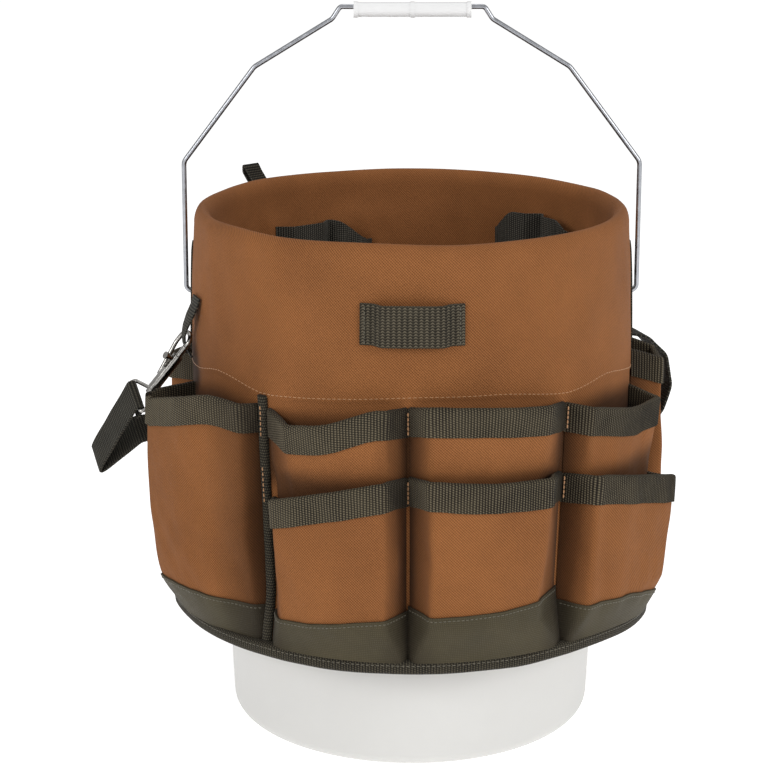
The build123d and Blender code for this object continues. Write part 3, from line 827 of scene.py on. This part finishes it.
def stitch_seam(angle, centre, low, high):
    """Dense stitches that hold two neighbouring pockets' edging down on their seam."""
    heights = np.linspace(low, high, 30)
    line = drape(polar(seam_angle(angle, centre, heights), at_height(skirt_radii, heights) + 3.6, heights))
    stitch(line, outward(line), "tan", 2.7, 3.1, 0.5)


level_tops = (base_top,) * 5
even_folds = (pleat, pleat)
flat_face = (0, 1, 0)
front_seam = -1.7
single_radii = {"tall": tall_radii, "narrow": narrow_radii}
# Number, seams, centre, kind, margins, each bag's folds, swell and rim, and the base strip's top edge.
# A double pocket's upper bag comes first.
places = (
    (0, (-80, -40), 0, "tall", (side_margin, divider_margin), ((pleat, 1.6),), ((11, 2, -12),),
     ((252, 250.5, 243.5, 264.5, 259.5),), (119, 121, 122, 121, 120)),
    (1, (-40, front_seam), 0, "double", (divider_margin, side_margin),
     ((7.5, pleat), (4.8, pleat)), ((-2, 0, 0), (-2, 0, 0)),
     ((258.7, 253, 258.5, 271, 267.5), (197, 204, 214.5, 224.4, 220)), (119, 120, 124, 128, 128)),
    (2, (front_seam, 40), 0, "double", (side_margin, side_margin),
     ((pleat, 9), (pleat, 9)), ((0, 1, -1), (0, 1, -1)),
     ((267.5, 273.3, 270.3, 266.5, 261.5), (220.5, 225.3, 221.5, 220, 213.7)), (131, 131, 133, 134, 134)),
    (3, (40, 80), 0, "double", (side_margin, side_margin),
     ((3, pleat), (3, pleat)), ((0, 2, 5), (0, 2, 10)),
     ((261, 259, 248, 245, 250), (212, 215, 202.4, 189, 191)), (124, 123, 119, 112, 110)),
    (4, (83, 99), 91, "narrow", (side_margin, side_margin), ((2.5, 2.5),), ((0, 0, 0),),
     ((272, 264, 262, 265, 272),), level_tops),
    (5, (116, 152.5), 189, "double", (side_margin, side_margin), (even_folds,) * 2, (flat_face,) * 2,
     ((261, 258, 256, 258, 261), (216, 213, 211, 213, 216)), level_tops),
    (6, (152.5, 189), 189, "double", (side_margin, divider_margin), (even_folds,) * 2, (flat_face,) * 2,
     ((263, 260, 258, 260, 263), (218, 215, 213, 215, 218)), level_tops),
    (7, (189, 225.5), 189, "double", (divider_margin, side_margin), (even_folds,) * 2, (flat_face,) * 2,
     ((261, 258, 256, 258, 261), (216, 213, 211, 213, 216)), level_tops),
    (8, (225.5, 262), 189, "tall", (side_margin, side_margin), (even_folds,), (flat_face,),
     ((257, 254, 252, 254, 257),), level_tops),
)


def build_bag(bag, label):
    """A bag's cloth and the webbing over its edge."""
    build_cloth(bag, f"bag_{label}")
    build_trim(bag, f"edging_{label}")


for number, seams, centre, kind, margins, folds, swell, rims, tops in places:
    if kind == "double":
        upper = Bag(
            seams, centre, upper_radii, margins, folds[0], swell[0], rims[0], 30 + number,
            behind=upper_margin, cover_height=max(rims[1]),
        )
        lower = Bag(seams, centre, lower_radii, margins, folds[1], swell[1], rims[1], 50 + number)
        build_bag(upper, f"{number}_upper")
        build_bag(lower, f"{number}_lower")
        build_base(lower, f"bottom_{number}", tops)
    else:
        # The first pocket's edge is lowest near its left corner.
        dip = 0.2 if number == 0 else 0.5
        single = Bag(
            seams, centre, single_radii[kind], margins, folds[0], swell[0], rims[0], 50 + number, dip=dip
        )
        build_bag(single, f"{number}_{kind}")
        build_base(single, f"bottom_{number}", tops)

# The seams between pockets that are stitched: angle, centre, and the heights of the upper and lower edging.
seam_tops = ((front_seam, 0, 267, 220), (40, 0, 261, 213), (152.5, 189, 262, 217))
for angle, centre, upper_top, lower_top in seam_tops:
    stitch_seam(angle, centre, upper_top - trim_height, upper_top - 1)
    stitch_seam(angle, centre, lower_top - trim_height, lower_top - 1)

# ---- Hem binding ----
hem_angles = np.linspace(-180, 180, 541)
hem_turn = np.radians(hem_angles)
hem_wave = 1.1 * rumple(np.sin(hem_turn) * 6, np.cos(hem_turn) * 6, 40.0)
# Distance from the axis, and height above the hem's bottom, round the binding. The fifth is the outermost.
hem_profile = (
    (167.2, 0.4), (170.4, -0.2), (173.2, 0.6), (174.6, 2.2), (174.9, 5),
    (174.6, 8.6), (173.6, 9.7), (170.4, 10.0), (167.2, 9.6), (166.4, 5),
)
hem_lines = [drape(polar(hem_angles, r + hem_wave, hem_bottom + z + 0.9 * hem_wave)) for r, z in hem_profile]
hem = ring_body("hem_tape", np.stack(hem_lines, axis=1), tape)
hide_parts("hem_binding")
row = hem_lines[4] + (0, 0, 2.2)
stitch(row, outward(row), "dark", 2.2, 3.4, 0.3)

# ---- Dividers ----
# Across the tape: degrees from its middle, and how far it stands off the skirt. The fourth is its ridge.
divider_profile = ((-1.15, 0.2), (-1.2, 2.2), (-0.8, 3.8), (0, 4.3), (0.8, 3.8), (1.2, 2.2), (1.15, 0.2))
for name, seam, centre in (("front", -40.0, 0.0), ("back", 189.0, 189.0)):
    heights = np.linspace(pocket_floor - 2, 266, 80)
    angle = seam_angle(seam, centre, heights)
    wobble = 0.25 * rumple(heights / 30, heights * 0, seam)
    root = at_height(skirt_radii, heights)
    rings = [drape(polar(angle + side + wobble * 0.6, root + out, heights)) for side, out in divider_profile]
    rings = np.stack(rings, axis=1)
    length = weave_of(np.concatenate([rings, rings[:, :1]], axis=1))
    made = tube(f"divider_tape_{name}", rings[:, ::-1], length, tape)
    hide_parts(f"divider_{name}")
    for low, high in ((236, 262), (192, 222)):
        part = (heights > low) & (heights < high)
        ridge = rings[part][:, 3]
        stitch(ridge, outward(ridge), "tan", 2.6, 3.6, 0.4)

# ---- Slit bindings ----
# Across the binding: distance from the slit's edge, and how far it stands off the skirt.
slit_profile = (
    (-0.2, -1.6), (-0.6, 0.2), (0.2, 1.3), (2.4, 1.5), (binding_width, 1.3), (binding_width + 0.2, 0.4)
)
for name, side in (("left", -1), ("right", 1)):
    turn = np.linspace(0, 2 * np.pi, 145)
    rings = []
    for offset, out in slit_profile:
        reach = slit_half_width + offset
        y = reach * np.cos(turn)
        z = slit_middle + reach * np.sin(turn) + slit_straight * np.clip(np.sin(turn) * 4, -1, 1)
        surface = skirt_surface(side * 90 + side * np.degrees(y / slit_radius), z)
        rings.append(surface + outward(surface) * out)
    rings = np.stack(rings, axis=1)
    if side < 0:
        rings = rings[::-1]
    made = ring_body(f"slit_tape_{name}", rings, tape)
    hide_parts(f"slit_binding_{name}")

# ---- Webbing outside ----
# The front loop is sewn flat at both ends and stands off the skirt between them.
loop_left = -13.3
loop_right = 11.7
loop_low = 308.5
loop_high = 336
flat_end = 2.6
loop_slope = 3.2
loop_tacks = (5, 104)
arc_per_degree = 2.72
loop_angle = np.linspace(loop_left, loop_right, 110)
raised = ease((loop_angle - loop_left - flat_end) / loop_slope)
raised = raised * ease((loop_right - flat_end - loop_angle) / loop_slope)
angle, z = np.meshgrid(loop_angle, np.linspace(loop_low, loop_high, 17), indexing="ij")
stand = 1.7 + raised[:, None] * (5.8 + 0.5 * rumple(angle / 6, z / 30, 2.0))
surface = skirt_surface(angle, z)
away = outward(surface)
loop_points = surface + away * (stand + rib_rise * np.cos(angle * 5))[..., None]
loop_weave = np.stack([angle * arc_per_degree, z], axis=-1)
front_loop = shell("loop_front", loop_points, webbing, olive_loop, loop_weave)
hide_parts("front_loop")
for end in loop_tacks:
    stitch(loop_points[end], away[end], "dark", 2.2, 3.2, 0.3)


def radial_line(angle, route, radii):
    """A path in the upright plane through the axis at an angle, from (radius, height) corners."""
    path = rounded(route, radii)
    return polar(angle, path[:, 0], path[:, 1])


def tangent(angle):
    """The direction round the bucket at an angle."""
    turn = math.radians(angle)
    return np.array([math.cos(turn), math.sin(turn), 0])


hammer_angle = 107
hammer_route = ((159.6, 271), (178, 267), (193, 252), (198, 229), (190, 206), (161.3, 196))
hammer_line = radial_line(hammer_angle, hammer_route, (14,) * 4)
made = band("strap_hammer", hammer_line, tangent(hammer_angle), 38, 1.6, black, 0.4, 1.0)
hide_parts("hammer_loop")

# The back strap stands up over the rim, and its top leans to one side.
back_angle = -136.5
back_lean = 13
back_route = ((157.6, 306), (157.2, 360), (161, 385), (165.5, 377), (159.6, 296))
back_line = radial_line(back_angle, back_route, (20, 1.9, 2.1))
back_line = back_line + tangent(back_angle) * back_lean * ease((back_line[:, 2:] - 356) / 32)
made = band("strap_back", back_line, tangent(back_angle), 14, 1.4, black, 0.15, 2.0)
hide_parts("back_strap")

# ---- Loops inside ----
# Between its tacks the webbing stands off the inner skirt.
tacked_radius = 137.6
loose_radius = 127.5
loose_from = 4
# Name, the tacks' angles, height, width, and where an end hangs: how far, from which angle, over what run.
inner_loops = (
    ("left", (192.0, 207.0, 227.0), 319.0, 38, ((17, 206, -14),)),
    ("right", (113.0, 133.0, 151.0), 327.0, 42, ((15, 142, 9), (8, 123, -9))),
)
for name, tacks, level, width, hangs in inner_loops:
    corners = [polar(tacks[0], tacked_radius, 0)[:2]]
    for first, last in zip(tacks, tacks[1:]):
        corners.append(polar(first + loose_from, loose_radius, 0)[:2])
        corners.append(polar(last - loose_from, loose_radius, 0)[:2])
        corners.append(polar(last, tacked_radius, 0)[:2])
    path = rounded(corners, (2.5,) * (len(corners) - 2), 1.0)
    place = angle_of(path) % 360
    drop = sum(depth * ease((place - start) / run) for depth, start, run in hangs)
    line = np.column_stack([path, level - drop])
    made = band(f"loops_inside_{name}", line, (0, 0, 1), width, webbing, grey_black, 0.5, 3.0)
    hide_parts(f"inner_loop_{name}")

# ---- Snap tab and tape strap ----
# Height, distance from the axis, angle and width of the tab, which narrows where it passes through the hook.
tab_stations = (
    (269, 158.4, -78.6, 6.5), (279, 163.4, -78.2, 6.5), (287, 164.6, -76.2, 9), (295, 164.0, -74.2, 13),
    (303, 162.0, -72.8, 17), (312, 158.6, -71.8, 17), (317, 157.6, -71.5, 17),
)
tab_angle = -72.0
tab_thickness = 1.2
tab_curl = 0.007
station_z, station_radius, station_angle, station_width = np.array(tab_stations, float).T
tab_z = np.linspace(station_z[0], station_z[-1], 61)
tab_width = np.interp(tab_z, station_z, station_width)
tab_middle = polar(
    np.interp(tab_z, station_z, station_angle), np.interp(tab_z, station_z, station_radius), tab_z
)
tab_side = np.linspace(-0.5, 0.5, 9) * tab_width[:, None]
tab_grid = tab_middle[:, None] + tangent(tab_angle) * tab_side[..., None]
tab_grid = tab_grid + polar(tab_angle, 1, 0) * (tab_thickness - tab_curl * tab_side ** 2)[..., None]
tab_weave = np.stack(np.broadcast_arrays(tab_z[:, None], tab_side), axis=-1)
made = shell("tab_snap", tab_grid[:, ::-1], tab_thickness, black, tab_weave)
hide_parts("snap_tab")


def unit(v):
    """The unit vector along a vector."""
    return np.array(v, float) / np.linalg.norm(v)


# The snap hangs down along snap_down from its hook, and the strap goes round the far bar of its wire eye,
# hangs down and turns back. Its end stops a few millimetres short of the skirt.
hook_top = np.array((-155.0, -35.5, 287.0))
snap_down = unit((-0.62, 0, -0.785))
snap_face = unit(np.cross(snap_down, (0.416, -0.848, -0.329)))
snap_side = np.cross(snap_face, snap_down)
neck_end = 51.0
barrel_axis = 4.0
eye_length = 11.0
strap_across = unit((0.32, -0.80, -0.51))
neck = hook_top + snap_down * neck_end + snap_side * barrel_axis
eye_out = np.array((-1, 0.1, -0.1))
eye_out = unit(eye_out - strap_across * eye_out.dot(strap_across))
far_bar = neck + eye_out * eye_length
strap_down = np.array((-36.0, 28, -57))
strap_down = unit(strap_down - strap_across * strap_down.dot(strap_across))
strap_side = np.cross(strap_across, strap_down)
bar_gap = 2.7
strap_route = (
    (9, bar_gap), (-bar_gap, bar_gap), (-bar_gap, -bar_gap), (73.0, -bar_gap), (30.0, 16.0), (18.0, 46.0)
)
strap_path = rounded(strap_route, (2.6, 2.6, 3.5, 8))
strap_line = far_bar + strap_down * strap_path[:, :1] + strap_side * strap_path[:, 1:]
made = band("strap_tape", strap_line, strap_across, 25, 1.6, black, 0.3, 5.0)
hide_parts("tape_strap")

build_stitches("tan", tan_thread)
build_stitches("dark", dark_thread)

# ---- Floor, lights and camera ----
floor_reach = 40
floor_mesh = bpy.data.meshes.new("floor")
floor_corners = [(x * floor_reach, y * floor_reach, 0) for x, y in ((-1, -1), (1, -1), (1, 1), (-1, 1))]
floor_mesh.from_pydata(floor_corners, [], [(0, 1, 2, 3)])
floor = bpy.data.objects.new("floor", floor_mesh)
bpy.context.scene.collection.objects.link(floor)
paper = Nodes("floor_paper", Roughness=0.9, Specular_IOR_Level=0.1, Emission_Strength=0.5)
paper.shader.inputs["Emission Color"].default_value = (1, 1, 1, 1)
paper_tone = paper.noise(3, 2)
paper_colour = paper.mix(paper_tone, (0.93, 0.93, 0.93), (0.96, 0.96, 0.96))
floor_mesh.materials.append(paper.finish(paper_colour, paper_tone, 0.02, 0.001))
floor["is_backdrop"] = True

bpy.context.scene.view_settings.view_transform = "Standard"
world = bpy.data.worlds.new("studio")
bpy.context.scene.world = world
world.use_nodes = True
sky = world.node_tree.nodes["Background"]
sky.inputs["Color"].default_value = (1, 1, 1, 1)
sky.inputs["Strength"].default_value = 0.56


def soft_light(name, place, target, size, power):
    """A large square light that faces a point."""
    data = bpy.data.lights.new(name, "AREA")
    data.shape = "SQUARE"
    data.size = size
    data.energy = power
    light = bpy.data.objects.new(name, data)
    light.location = place
    light.rotation_euler = (Vector(target) - Vector(place)).to_track_quat("-Z", "Y").to_euler()
    bpy.context.scene.collection.objects.link(light)


soft_light("key", (-1.5, -1.7, 1.2), (0, 0, 0.22), 0.7, 14)
soft_light("fill", (1.6, -1.5, 1.1), (0, 0, 0.22), 0.8, 17)
soft_light("top", (0, 0.3, 2.2), (0, 0, 0.3), 1.2, 7)

camera_data = bpy.data.cameras.new("camera")
camera_data.sensor_width = 36.0
camera_data.lens = 100.93
camera_data.clip_end = 50
tilt_down = 15.195
turn_right = 0.25
camera = bpy.data.objects.new("camera", camera_data)
camera.location = (-0.0269, -1.5015, 0.649)
camera.rotation_euler = (math.radians(90 - tilt_down), 0, math.radians(-turn_right))
bpy.context.scene.collection.objects.link(camera)
bpy.context.scene.camera = camera

low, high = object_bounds()
